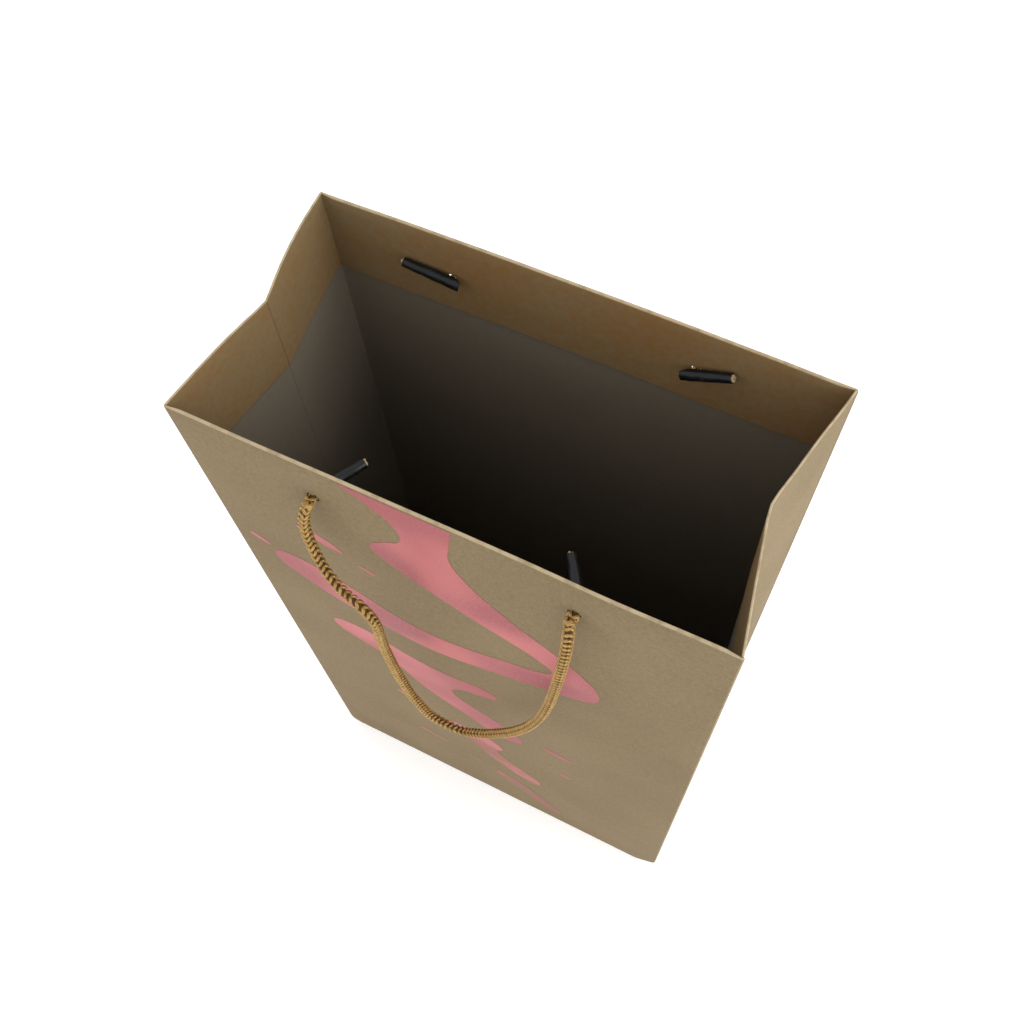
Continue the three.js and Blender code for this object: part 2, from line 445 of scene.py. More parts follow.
class Finish:
    """A material that is built up from nodes."""

    def __init__(self, name, **fixed):
        self.material = bpy.data.materials.new(name)
        self.material.use_nodes = True
        self.tree = self.material.node_tree
        self.surface = self.tree.nodes["Principled BSDF"]
        for socket, value in fixed.items():
            self.surface.inputs[socket.replace("_", " ")].default_value = value
        self.place = self.node("ShaderNodeTexCoord", {}, {}, "Object")
        self.x, self.y, self.z = (
            self.node("ShaderNodeSeparateXYZ", {}, {0: self.place}, axis) for axis in "XYZ"
        )

    def node(self, kind, settings, inputs, output=0):
        made = self.tree.nodes.new(kind)
        for setting, value in settings.items():
            setattr(made, setting, value)
        for socket, value in inputs.items():
            if isinstance(value, Wire):
                self.tree.links.new(value.socket, made.inputs[socket])
            else:
                made.inputs[socket].default_value = value
        return Wire(self, made.outputs[output])

    def noise(self, scale, detail=2, stretch=(1, 1, 1), turn=(0, 0, 0)):
        """Noise with that many features to a metre."""
        place = self.node("ShaderNodeMapping", {}, {0: self.place, 2: turn, 3: stretch})
        inputs = {"Vector": place, "Scale": scale, "Detail": detail}
        return self.node("ShaderNodeTexNoise", {}, inputs)

    def mix(self, share, first, second):
        """A colour between two colours."""
        settings = {"data_type": "RGBA"}
        return self.node("ShaderNodeMix", settings, {0: share, 6: first, 7: second}, 2)

    def bump(self, height, depth, strength):
        inputs = {"Height": height, "Distance": depth, "Strength": strength}
        return self.node("ShaderNodeBump", {}, inputs)

    def wear(self, socket, value):
        self.tree.links.new(value.socket, self.surface.inputs[socket])


# %% Kraft board
def tone(red, green, blue):
    return (red, green, blue, 1)


def fibres(finish):
    """Fine threads that lie every way in the board, about -1 to 1."""
    flat = finish.noise(1700, 2, (1, 1, 0.5), (0, 0.5, 0.3))
    steep = finish.noise(1700, 2, (0.5, 0.5, 1), (0.2, 0.4, 0.1))
    return (flat + steep - 1) * 1.4


def board(name, base, dark, pale, rubbed, rub_and_highlight_share, painted_indoor_shade):
    """A board finish: its tone, its darkest and palest fibres, its pale tone where it is rubbed and
    where a highlight is painted on the rim, how much of that is laid on, and the warmer painted
    shade of its faces inside the bag."""
    finish = Finish(name, Roughness=0.82, Specular_IOR_Level=0.25)
    mottle = finish.noise(18, 2) * 0.5 + finish.noise(420, 3) * 0.5
    thread = fibres(finish)
    speck = finish.noise(2600, 1)
    blotch = mottle.ramp(0.3, 0.7)
    color = finish.mix(blotch, dark, pale)
    color = finish.mix(0.78, color, base)
    color = finish.mix(thread.ramp(0.0, 0.6) * 0.4, color, pale)
    color = finish.mix((-1 * thread).ramp(0.0, 0.6) * 0.45, color, dark)
    color = finish.mix((1 - speck).ramp(0.6, 0.76) * 0.5, color, dark)
    color = finish.mix(speck.ramp(0.6, 0.76) * 0.4, color, pale)
    inwards = inside_mask(finish)
    # painted shade: faces that look into the bag take a warmer, darker tone, as light bouncing inside the
    # bag would give them
    color = finish.mix(inwards * 0.8, color, finish.mix(blotch, painted_indoor_shade, base))
    # painted shade lines down the inner creases, and a painted shadow under the hem's foot
    color = finish.mix(painted_inner_shade_lines(finish, inwards) * 0.8, color, dark)
    creases = crease_mask(finish)
    # creases and rims are rubbed paler; on the rim and corners the pale line is also a painted highlight
    color = finish.mix(creases.most(rim_rub_and_highlight_mask(finish)) * rub_and_highlight_share, color, rubbed)
    finish.wear("Base Color", color)
    finish.wear("Roughness", 0.78 + thread * 0.12 + mottle * 0.08)
    grain = thread * 0.6 + speck * 0.5 + finish.noise(160, 2) * 0.8
    finish.wear("Normal", finish.bump(grain - creases * 2.5, 0.05 * MM, 0.7))
    return finish.material


FOLD_HEIGHT = 56 * MM  # the line where the flat bag's foot folds up
# width of the rubbed rim and corners, which also carry a painted highlight
RIM_RUB_AND_HIGHLIGHT_WIDTH = 0.55 * MM


def line_mask(distance, half_width):
    return 1 - distance.size().ramp(0.0, half_width)


def side_mask(finish):
    """1 on the pinched sides."""
    return finish.x.size().ramp(HALF_WIDTH - 14 * MM, HALF_WIDTH - 13 * MM)


def crease_mask(finish):
    """Creases from when the bag was folded flat: round it, and up each side in a gable."""
    off_panels = side_mask(finish) * (1 - finish.y.size().ramp(HALF_DEPTH - 2 * MM, HALF_DEPTH - MM))
    level = line_mask(finish.z - FOLD_HEIGHT, 0.8 * MM)
    gable = line_mask(finish.z + finish.y.size() - HALF_DEPTH, 1.1 * MM) * off_panels
    return (level * 0.12).most(gable * 0.35)


def inside_mask(finish):
    """1 on the faces that look into the bag."""
    facing = finish.node("ShaderNodeNewGeometry", {}, {}, "Normal")
    facing_x, facing_y = (finish.node("ShaderNodeSeparateXYZ", {}, {0: facing}, axis) for axis in "XY")
    return (finish.x * facing_x * -1 - finish.y * facing_y).ramp(-0.01, 0.03)


def painted_inner_shade_lines(finish, inwards):
    """Painted dark shade lines inside: down each side's crease, and a painted shadow just under the hem's
    foot.
    """
    in_hem = finish.z.ramp(HEM_FOOT - MM, HEM_FOOT)
    crease = line_mask(finish.y, 0.5 * MM) * side_mask(finish) * (0.25 + in_hem * 0.75)
    # a painted shadow just under the hem's foot
    shadow_below_hem = line_mask(finish.z - (HEM_FOOT - 0.7 * MM), 0.9 * MM)
    return crease.most(shadow_below_hem * 0.7) * inwards


def rim_rub_and_highlight_mask(finish):
    """The rubbed crown of the rim, and the corners, broken up by noise; their pale line is also a painted
    highlight.
    """
    crown = finish.z.ramp(RIM - RIM_RUB_AND_HIGHLIGHT_WIDTH, RIM - 0.15 * MM)
    at_face = finish.y.size().ramp(HALF_DEPTH - 0.6 * MM, HALF_DEPTH - 0.1 * MM)
    corner = finish.x.size().ramp(HALF_WIDTH - RIM_RUB_AND_HIGHLIGHT_WIDTH, HALF_WIDTH - 0.2 * MM) * at_face
    patchy = finish.noise(260, 3).ramp(0.25, 0.6)
    return crown.most(corner * 0.7) * (0.45 + patchy * 0.55)


KRAFT_TONE = tone(0.2, 0.144, 0.071)
# each board's fourth tone is the pale tone of rubbed creases and of the rim's painted highlight; its last
# tone is the painted shade of its faces inside the bag
kraft = board(
    "kraft_board",
    KRAFT_TONE,
    tone(0.115, 0.077, 0.037),
    tone(0.32, 0.245, 0.145),
    tone(0.52, 0.42, 0.27),
    0.75,
    tone(0.225, 0.111, 0.033),
)
reverse = board(
    "board_reverse",
    tone(0.175, 0.145, 0.105),
    tone(0.085, 0.07, 0.05),
    tone(0.28, 0.24, 0.18),
    tone(0.3, 0.25, 0.18),
    0.5,
    tone(0.165, 0.14, 0.105),
)
cut_edge = board(
    "board_cut_edge",
    tone(0.36, 0.28, 0.175),
    tone(0.2, 0.15, 0.085),
    tone(0.5, 0.41, 0.27),
    tone(0.5, 0.4, 0.26),
    0.5,
    tone(0.3, 0.22, 0.12),
)
print("board finishes", kraft.name, reverse.name, cut_edge.name)

# %% [markdown]
# ## The front and back panels
# Each panel reaches round both corners and round the foot, to where the next sheet starts. The
# same function makes both; the back one is turned half round.

# %% Panels
FRONT = -1
BACK = 1
PANEL_SPAN = (-(HALF_WIDTH - CORNER), HALF_WIDTH - CORNER)
FOOT = {"front": 0.0, "back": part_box("bottom_flap_back")[0].z, "side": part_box("bottom_flap_left")[0].z}
PANEL_WAVES = {  # size, depth and bow
    "front": (75 * MM, 1.2 * MM, 0.0),
    "back": (62 * MM, 1.2 * MM, 1.3 * MM),
}


def settle(sheet, side, behind=0.0):
    """Puts a sheet that faces -Y at y = 0 where its panel's face is, or that far behind it."""
    if side == BACK:
        sheet.rotation_euler.z = HALF_TURN
    sheet.location.y = side * (HALF_DEPTH - behind)
    fix_in_place(sheet)


def panel(word, side):
    piece = hemmed_sheet(f"{word}_board", PANEL_SPAN, FOOT[word], HEM_THICK, curled=True)
    wave(piece, PANEL_SPAN, *PANEL_WAVES[word])
    settle(piece, side)
    move_points(piece, knocked)
    thicken(piece)
    punch(piece, side)
    smooth(piece)
    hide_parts(f"{word}_panel", f"{word}_turn_in")
    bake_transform(piece)
    print(piece.name, len(piece.data.polygons), "faces")
    return piece


front_board = panel("front", FRONT)
panel("back", BACK)

# %% [markdown]
# ## The card strips in the hem
# A strip of grey card is glued into each hem, so that the handles can't tear out. It only
# shows as a thin layer along the hem's lower edge. It waves with its panel.

# %% Card strips
CARD_END = 94 * MM  # short of the corners, where the hem lies flat


def card_finish():
    finish = Finish("grey_card", Roughness=0.9, Specular_IOR_Level=0.2)
    color = finish.mix(finish.noise(900, 3), tone(0.20, 0.18, 0.15), tone(0.34, 0.31, 0.26))
    flecks = finish.noise(1500, 1).ramp(0.62, 0.72)
    finish.wear("Base Color", finish.mix(flecks * 0.5, color, tone(0.1, 0.09, 0.08)))
    finish.wear("Normal", finish.bump(finish.noise(1200, 3), 0.05 * MM, 0.6))
    return finish.material


grey_card = card_finish()


def card_strip(word, side):
    piece = standing_grid(f"{word}_card_strip", (-CARD_END, CARD_END), (CARD_LOW.z, CARD_HIGH.z))
    wave(piece, PANEL_SPAN, *PANEL_WAVES[word])
    settle(piece, side, CARD_LOW.y + HALF_DEPTH)
    wall = piece.modifiers.new("card", "SOLIDIFY")
    wall.thickness = CARD_HIGH.y - CARD_LOW.y
    wall.offset = -1
    apply_modifiers(piece)
    piece.data.materials.append(grey_card)
    punch(piece, side)
    smooth(piece)
    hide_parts(f"{word}_top_card")
    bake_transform(piece)
    return piece


card_strips = [card_strip("front", FRONT), card_strip("back", BACK)]
print("card strips", [len(piece.data.polygons) for piece in card_strips])

# %% [markdown]
# ## The sides
# Each side folds inwards along its middle, so it is made of two halves that meet at the crease.
# A half is the same hemmed sheet with no corner curls. It is turned to face left or right, and
# then every row is leaned inwards by its height, because the crease stands in by about 10 mm at
# the rim and not at all at the foot. Near the crease the lean is eased, which rounds it off.

# %% Side halves
CREASE_GAP = 0.03 * MM
CREASE_EASE = {"left": 1.2 * MM, "right": 3.5 * MM}
EASE_TAKEN = 0.45  # of the ease, so that a rounded crease still stands in nearly as far
SIDE_WAVES = {
    "left_front": (48 * MM, 1.0 * MM, 0.9 * MM),
    "left_rear": (48 * MM, 1.0 * MM, 1.7 * MM),
    "right_front": (44 * MM, 1.6 * MM, 0.0),
    "right_rear": (44 * MM, 1.6 * MM, 0.5 * MM),
}


def side_half(across_word, half_word):
    across = -1 if across_word == "left" else 1
    half = -1 if half_word == "front" else 1
    reach = HALF_DEPTH - CORNER
    # facing -Y, a left side's front is on the right, and a right side's on the left
    span = (CREASE_GAP, reach) if across * half > 0 else (-reach, -CREASE_GAP)
    name = f"{across_word}_{half_word}"
    piece = hemmed_sheet(f"{name}_side", span, FOOT["side"], SIDE_HEM_THICK, curled=False)
    wave(piece, span, *SIDE_WAVES[name])
    pick(piece)
    piece.rotation_euler.z = across * QUARTER_TURN
    piece.location.x = across * HALF_WIDTH
    fix_in_place(piece)
    ease, pinch = CREASE_EASE[across_word], PINCH[across_word]

    def leaned(point):
        from_crease = math.hypot(point.y, ease) - ease * EASE_TAKEN
        share = 1 - min(1.0, from_crease / reach)
        return Vector((point.x - across * pinch * share * point.z / RIM, point.y, point.z))

    move_points(piece, leaned)
    move_points(piece, knocked)
    thicken(piece)
    smooth(piece)
    node = f"{across_word}_side_{half_word}"
    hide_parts(node, f"{node}_turn_in")
    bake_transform(piece)
    return piece


for across_word in ("left", "right"):
    for half_word in ("front", "rear"):
        piece = side_half(across_word, half_word)
        print(piece.name, [round(x / MM, 1) for x in piece.dimensions])

# %% [markdown]
# ## The bottom
# Four flaps close the foot: the two side flaps fold in first, then the back flap and the front
# flap, which is glued outermost. Each starts where its wall's foot curl ends. The free corners
# are cut off on the slant so they don't show past the fold. A loose base card lies on them.

# %% Bottom flaps and base card
FLAP_CORNER = 9 * MM
BASE_CORNER = 2.5 * MM
BASE_EDGE = 0.15 * MM


def flap(word, inwards):
    """A bottom flap that reaches inwards from its wall, with its two free corners cut off."""
    low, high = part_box(f"bottom_flap_{word}")
    bpy.ops.mesh.primitive_grid_add(x_subdivisions=24, y_subdivisions=16, size=1, location=(low + high) / 2)
    piece = bpy.context.object
    piece.name = f"{word}_bottom_flap"
    piece.scale = (high.x - low.x, high.y - low.y, 1)
    fix_in_place(piece)
    open_mesh(piece)
    for across in (-1, 1):
        slant = Vector((inwards[0] or across, inwards[1] or across, 0))
        corner = Vector((high.x if slant.x > 0 else low.x, high.y if slant.y > 0 else low.y, 0))
        bpy.ops.mesh.select_all(action="SELECT")
        bpy.ops.mesh.bisect(plane_co=corner - slant * FLAP_CORNER / 2, plane_no=slant, clear_outer=True)
    close_mesh()
    move_points(piece, lambda p: Vector((p.x, p.y, low.z)))
    move_points(piece, knocked)
    wall = piece.modifiers.new("board", "SOLIDIFY")
    wall.thickness = PAPER
    wall.offset = 1
    wall.material_offset = -1
    wall.material_offset_rim = 1
    for finish in (reverse, kraft, cut_edge):
        piece.data.materials.append(finish)
    for face in piece.data.polygons:
        face.material_index = 1
    apply_modifiers(piece)
    smooth(piece)
    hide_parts(f"bottom_flap_{word}")
    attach(piece, "base")
    return piece


for word, inwards in (("left", (1, 0)), ("right", (-1, 0)), ("back", (0, -1)), ("front", (0, 1))):
    piece = flap(word, inwards)
    print(piece.name, [round(x / MM, 1) for x in piece.dimensions])

low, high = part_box("base_card")
bpy.ops.mesh.primitive_cube_add(size=1, location=(low + high) / 2)
base_board = bpy.context.object
base_board.name = "base_board"
base_board.scale = high - low
fix_in_place(base_board)
open_mesh(base_board, "EDGE")
shape = bmesh.from_edit_mesh(base_board.data)
for edge in shape.edges:
    edge.select = abs(edge.verts[0].co.z - edge.verts[1].co.z) > 0.1 * MM
bmesh.update_edit_mesh(base_board.data)
bpy.ops.mesh.bevel(offset=BASE_CORNER, segments=5)
bpy.ops.mesh.select_all(action="SELECT")
bpy.ops.mesh.bevel(offset=BASE_EDGE, segments=2)
close_mesh()
move_points(base_board, knocked)
base_board.data.materials.append(grey_card)
smooth(base_board)
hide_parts("base_card")
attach(base_board, "base")
print("base board", len(base_board.data.polygons), "faces")

# %% [markdown]
# ## The glued seam
# The sheet is closed into a tube by a narrow flap glued inside the back panel. Its reverse
# faces inwards, so it only shows as a faint step beside the right rear corner.

# %% Seam flap
low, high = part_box("side_seam_flap")
seam = standing_grid("seam_flap", (-high.x, -low.x), (low.z, high.z))
wave(seam, PANEL_SPAN, *PANEL_WAVES["back"])
settle(seam, BACK, HALF_DEPTH - high.y)
wall = seam.modifiers.new("board", "SOLIDIFY")
wall.thickness = PAPER
wall.offset = -1
apply_modifiers(seam)
seam.data.materials.append(reverse)
smooth(seam)
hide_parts("side_seam_flap")
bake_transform(seam)
print(seam.name, [round(x / MM, 1) for x in seam.dimensions])

# %% [markdown]
# ## The knitted cord handles
# The handles are a knitted cord, a little over 4 mm thick, whose stitches stand in columns of
# Vs. One row is modelled: a leg is a small sphere drawn out into a petal, two legs make
# a V, and the V is spun round a core. An Array modifier repeats the row, and a Curve modifier
# bends the straight cord along its route. The ends are rounded, so that a handle and its cord
# end meet in one ball on the line that the handle swings about.

# %% Cord routes
# Each point is how far across, how far out from the panel's face, and how high, in millimetres.
FRONT_ROUTE = [
    (-47.5, 3.3, 339), (-48.3, 5, 336.3), (-49.2, 6.3, 331), (-49, 7.8, 323), (-46.9, 9.5, 314.5),
    (-42.5, 12, 306.5), (-34.5, 14.8, 302), (-27.5, 16.3, 300), (-23.8, 16.8, 294), (-23.2, 16.7, 284),
    (-24.2, 16.4, 271), (-24.6, 16, 252), (-23.4, 15.5, 221), (-19.5, 15, 192), (-12.2, 14, 173.5),
    (-2, 13.2, 170.5), (8, 12.6, 179), (18, 12, 193), (28, 11.5, 211.5), (36.6, 11, 236),
    (42, 10.5, 262), (45, 10, 286), (47, 9.2, 306), (48.2, 7.4, 325), (48, 5.2, 335.2),
    (47.5, 3.3, 339),
]
BACK_ROUTE = [
    (47.5, 3.3, 339), (47.9, 5, 336.3), (48.3, 6.4, 330.5), (48.2, 8, 318), (46.8, 9.5, 298),
    (44, 10.5, 272), (39.5, 11, 244), (32.5, 11.5, 217), (22.5, 12, 195), (11, 12.2, 181),
    (-1, 12.2, 176), (-13, 12, 181), (-24, 11.6, 195), (-33, 11.2, 217), (-39.5, 10.8, 244),
    (-44, 10.3, 272), (-47, 9.5, 298), (-48.3, 8, 318), (-48.4, 6.4, 330.5), (-47.9, 5, 336.3),
    (-47.5, 3.3, 339),
]
CORD_RADIUS = 2.15 * MM
BLUNT = 0.03  # keeps a rounded end's very tip from closing
PIVOT_OUT = 3.3 * MM


def route_curve(name, places, twist=0.0):
    """A smooth curve through the given places, that turns evenly about itself on its way."""
    data = bpy.data.curves.new(name, "CURVE")
    data.dimensions = "3D"
    data.resolution_u = 16
    spline = data.splines.new("BEZIER")
    spline.bezier_points.add(len(places) - 1)
    for i, (point, place) in enumerate(zip(spline.bezier_points, places)):
        point.co = place
        point.handle_left_type = point.handle_right_type = "AUTO"
        point.tilt = twist * i / (len(places) - 1)
    curve = bpy.data.objects.new(name, data)
    bpy.context.collection.objects.link(curve)
    return curve


def points_along(curve):
    line = curve.to_mesh()
    places = [vertex.co.copy() for vertex in line.vertices]
    curve.to_mesh_clear()
    return places


def length_of(places):
    return sum((b - a).length for a, b in zip(places, places[1:]))


# %% Yarn and core
YARN_TURNS = 5  # strands seen round one leg
STRAND_SLANT = 1.5


def yarn_finish():
    """Shiny gold-brown yarn of fine strands that run along each leg of a stitch. The strands' pale tone is
    partly a painted highlight, and each leg gets painted shade at its root and its tip.
    """
    finish = Finish("gold_yarn", Specular_IOR_Level=0.4)
    unwrap = finish.node("ShaderNodeUVMap", {"uv_map": "UVMap"}, {})
    around, along = (finish.node("ShaderNodeSeparateXYZ", {}, {0: unwrap}, axis) for axis in "XY")
    phase = (around * YARN_TURNS + along * STRAND_SLANT) * math.tau
    strand_and_highlight = phase.sine() * 0.5 + 0.5
    shade = finish.noise(420, 2)
    color = finish.mix(shade.ramp(0.3, 0.7), tone(0.19, 0.095, 0.019), tone(0.38, 0.215, 0.052))
    # the strands' pale tone is partly their own colour and partly a painted highlight
    color = finish.mix(strand_and_highlight * 0.5, color, tone(0.68, 0.45, 0.14))
    color = finish.mix(finish.noise(2600, 1).ramp(0.6, 0.75) * 0.4, color, tone(0.7, 0.5, 0.22))
    # painted shade at each leg's root, where it dips under the stitch before it, and at its tip
    leg_end_shade = (1 - along.ramp(0.05, 0.4)).most(along.ramp(0.72, 0.95))
    color = finish.mix(leg_end_shade * 0.8, color, tone(0.05, 0.024, 0.006))
    finish.wear("Base Color", color)
    finish.wear("Metallic", 0.1 + strand_and_highlight * 0.2)
    finish.wear("Roughness", 0.5 - strand_and_highlight * 0.15)
    finish.wear("Normal", finish.bump(strand_and_highlight, 0.08 * MM, 0.8))
    return finish.material


def core_shade_finish():
    # the core is painted dark, as shade, so that the gaps between the stitches look shaded
    finish = Finish("painted_shade_core", Roughness=0.9)
    color = finish.mix(finish.noise(800, 2), tone(0.06, 0.032, 0.008), tone(0.13, 0.07, 0.02))
    finish.wear("Base Color", color)
    finish.wear("Normal", finish.bump(finish.noise(2500, 2), 0.05 * MM, 0.8))
    return finish.material


gold_yarn = yarn_finish()
painted_shade_core = core_shade_finish()

# %% One row of stitches
WALES = 3  # columns of stitches round the cord
ROW_PITCH = 2.6 * MM
LEG_LONG = 3.15 * MM
LEG_WIDE = 1.2 * MM
LEG_THICK = 1.3 * MM
LEG_ASIDE = 0.8 * MM
LEG_OUT = CORD_RADIUS - LEG_THICK / 2
LEG_SPREAD = math.radians(42)
LEG_LIFT = math.radians(10)


def wrapped(point):
    """Wraps a flat stitch round the cord, so that its sides follow the cord's roundness."""
    angle = point.y / LEG_OUT
    return Vector((point.x, point.z * math.sin(angle), point.z * math.cos(angle)))


def stitch_leg(aside):
    """One leg of a V: a petal whose root dips under the stitch before it."""
    bpy.ops.mesh.primitive_uv_sphere_add(segments=8, ring_count=8, radius=0.5)
    leg = bpy.context.object
    leg.scale = (LEG_THICK, LEG_WIDE, LEG_LONG)
    fix_in_place(leg)
    leg.rotation_euler = (0, QUARTER_TURN - LEG_LIFT, 0)
    fix_in_place(leg)
    leg.rotation_euler.z = aside * LEG_SPREAD
    leg.location = (0, aside * LEG_ASIDE, LEG_OUT)
    fix_in_place(leg)
    move_points(leg, wrapped)
    leg.data.materials.append(gold_yarn)
    smooth(leg, 80)
    return leg


def stitch_row(name):
    left, right = stitch_leg(-1), stitch_leg(1)
    pick(left)
    right.select_set(True)
    bpy.ops.object.join()
    open_mesh(left)
    bpy.ops.mesh.select_all(action="SELECT")
    bpy.ops.mesh.spin(
        steps=WALES - 1,
        dupli=True,
        angle=-math.tau * (WALES - 1) / WALES,
        center=(0, 0, 0),
        axis=(1, 0, 0),
    )
    close_mesh()
    bpy.ops.mesh.primitive_cylinder_add(
        vertices=10,
        radius=CORD_RADIUS - 0.8 * LEG_THICK,
        depth=ROW_PITCH,
        end_fill_type="NOTHING",
        rotation=(0, QUARTER_TURN, 0),
    )
    core = bpy.context.object
    fix_in_place(core)
    # the core's dark tone is painted shade between the stitches
    core.data.materials.append(painted_shade_core)
    smooth(core, 80)
    pick(left)
    core.select_set(True)
    bpy.ops.object.join()
    left.name = name
    return left


def knit(name, curve, radius_at):
    """A cord of whole rows along a curve, as thick at each place as radius_at says."""
    places = points_along(curve)
    length = length_of(places)
    rows = round((length + 2 * CORD_RADIUS) / ROW_PITCH)
    cord = stitch_row(name)
    repeat = cord.modifiers.new("rows", "ARRAY")
    repeat.count = rows
    repeat.use_relative_offset = False
    repeat.use_constant_offset = True
    repeat.constant_offset_displace = ((length + 2 * CORD_RADIUS) / rows, 0, 0)
    apply_modifiers(cord)
    start = ROW_PITCH / 2 - CORD_RADIUS

    def shaped(point):
        x = point.x + start
        size = radius_at(x, length) / CORD_RADIUS
        return Vector((x, point.y * size, point.z * size))

    move_points(cord, shaped)
    bend = cord.modifiers.new("route", "CURVE")
    bend.object = curve
    bend.deform_axis = "POS_X"
    apply_modifiers(cord)
    bpy.data.objects.remove(curve)
    return cord, places


def ball_end(into):
    """The radius of a cord, where it is that far into its rounded end."""
    share = min(1.0, max(0.0, into / CORD_RADIUS))
    return CORD_RADIUS * math.sqrt(max(BLUNT, share * (2 - share)))


def handle_radius(x, length):
    return min(ball_end(x + CORD_RADIUS), ball_end(length + CORD_RADIUS - x))


# %% Handles
HANDLE_TWIST = {"front": 1.2, "back": -1.0}
handles = {}
for word, side, route in (("front", FRONT, FRONT_ROUTE), ("back", BACK, BACK_ROUTE)):
    places = [Vector((x * MM, side * (HALF_DEPTH + out * MM), z * MM)) for x, out, z in route]
    curve = route_curve(f"{word}_route", places, HANDLE_TWIST[word])
    handle, line = knit(f"{word}_handle", curve, handle_radius)
    handles[word] = (handle, line)
    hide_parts(f"{word}_handle_cord")
    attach(handle, f"{word}_handle")
    print(handle.name, round(length_of(line), 4), "m,", len(handle.data.polygons), "faces")

# %% [markdown]
# ## Cord ends and sleeves
# Each end of a handle comes in through its hole and is squeezed into a black plastic sleeve,
# which keeps it from pulling back out. The two rear sleeves lie along the panel, so their
# mouths are cut on the slant, facing the hole. A sleeve is a slim cone that is given rings,
# cut, dented a little and thickened. The cord shows at its cut end as a pale tuft of fibres.

# %% Sleeve places and finish
# Each sleeve's mouth and cut end, in millimetres.
SLEEVES = {
    "front_left": ((-46.2, -44.6, 338), (-39, -31, 337.5)),
    "front_right": ((45.9, -44.4, 337.8), (37.5, -31, 335)),
    "back_left": ((-41.2, 45.9, 340.4), (-66.2, 46.3, 342)),
    "back_right": ((41.8, 45.9, 337.6), (60.8, 46.4, 346)),
}
MOUTH_RADIUS = 2.35 * MM
CUT_RADIUS = 1.95 * MM
SLEEVE_WALL = 0.45 * MM
SLANT = 9 * MM
TIP = 1.6 * MM  # of the slanted mouth that is cut off square
STUB_DEPTH = 1.6 * MM
SQUEEZED = 1.35 * MM


def sleeve_finish():
    finish = Finish("black_sleeve", Specular_IOR_Level=0.3)
    scuff = finish.noise(600, 3, (1, 1, 0.4)).ramp(0.5, 0.75)
    finish.wear("Base Color", finish.mix(scuff * 0.5, tone(0.004, 0.005, 0.006), tone(0.014, 0.016, 0.019)))
    finish.wear("Roughness", 0.32 + scuff * 0.3)
    finish.wear("Normal", finish.bump(finish.noise(500, 2), 0.15 * MM, 0.6))
    return finish.material


def tuft_finish():
    finish = Finish("pale_fibres", Roughness=0.7)
    color = finish.mix(finish.noise(1800, 2), tone(0.2, 0.12, 0.04), tone(0.66, 0.52, 0.3))
    finish.wear("Base Color", color)
    return finish.material


black_sleeve = sleeve_finish()
pale_fibres = tuft_finish()


# %% Sleeves and cord ends
def sleeve(name, mouth, cut, towards_hole):
    along = cut - mouth
    bpy.ops.mesh.primitive_cone_add(
        vertices=28, radius1=MOUTH_RADIUS, radius2=CUT_RADIUS, depth=along.length, end_fill_type="NOTHING"
    )
    tube = bpy.context.object
    tube.name = f"{name}_tube"
    open_mesh(tube)
    rings = round(along.length / MM)
    for ring in range(1, rings):
        bpy.ops.mesh.select_all(action="SELECT")
        height = along.length * (ring / rings - 0.5)
        bpy.ops.mesh.bisect(plane_co=(0, 0, height), plane_no=(0, 0, 1))
    close_mesh()
    tube.rotation_mode = "QUATERNION"
    tube.rotation_quaternion = along.to_track_quat("Z", "Y")
    tube.location = (mouth + cut) / 2
    fix_in_place(tube)
    along.normalize()
    if towards_hole:
        open_mesh(tube)
        bpy.ops.mesh.select_all(action="SELECT")
        slope = along * 2 * MOUTH_RADIUS - towards_hole * SLANT
        middle = mouth + along * SLANT / 2
        bpy.ops.mesh.bisect(plane_co=middle, plane_no=slope.normalized(), clear_inner=True)
        bpy.ops.mesh.select_all(action="SELECT")
        bpy.ops.mesh.bisect(plane_co=mouth + along * TIP, plane_no=along, clear_inner=True)
        close_mesh()
    dent = tube.modifiers.new("dent", "DISPLACE")
    dent.texture = bpy.data.textures.new(f"{name}_dents", "CLOUDS")
    dent.texture.noise_scale = 4 * MM
    dent.strength = 0.45 * MM
    dent.mid_level = 0.7
    wall = tube.modifiers.new("wall", "SOLIDIFY")
    wall.thickness = SLEEVE_WALL
    wall.offset = -1
    rim = tube.modifiers.new("rim", "BEVEL")
    rim.width = 0.12 * MM
    rim.segments = 2
    rim.limit_method = "ANGLE"
    rim.angle_limit = math.radians(50)
    apply_modifiers(tube)
    tube.data.materials.append(black_sleeve)
    smooth(tube, 50)
    return tube


def tuft(cut, along):
    """Fibres that stand a little out of a sleeve's cut end, some longer than others."""
    radius = CUT_RADIUS - SLEEVE_WALL - 0.1 * MM
    bpy.ops.mesh.primitive_cylinder_add(vertices=20, radius=radius, depth=3 * MM)
    end = bpy.context.object
    open_mesh(end, "FACE")
    shape = bmesh.from_edit_mesh(end.data)
    for face in shape.faces:
        face.select = face.normal.z > 0.9
    bmesh.update_edit_mesh(end.data)
    for width in (0.45, 0.35, 0.3):
        bpy.ops.mesh.inset(thickness=width * MM)
    close_mesh()
    chance = random.Random(7)
    for vertex in end.data.vertices:
        if vertex.co.z > 0:
            vertex.co.z = 1.5 * MM + chance.uniform(-0.3, 0.55) * MM
    end.rotation_mode = "QUATERNION"
    end.rotation_quaternion = along.to_track_quat("Z", "Y")
    end.location = cut - along * 1.2 * MM
    fix_in_place(end)
    end.data.materials.append(pale_fibres)
    return end


def end_radius(x, length):
    """Full at the hole, and squeezed where it enters its sleeve."""
    squeezed = smoothstep(PIVOT_OUT + PAPER, PIVOT_OUT + STUB_DEPTH + MM, x)
    full = ball_end(x + CORD_RADIUS)
    return full + (SQUEEZED - full) * squeezed


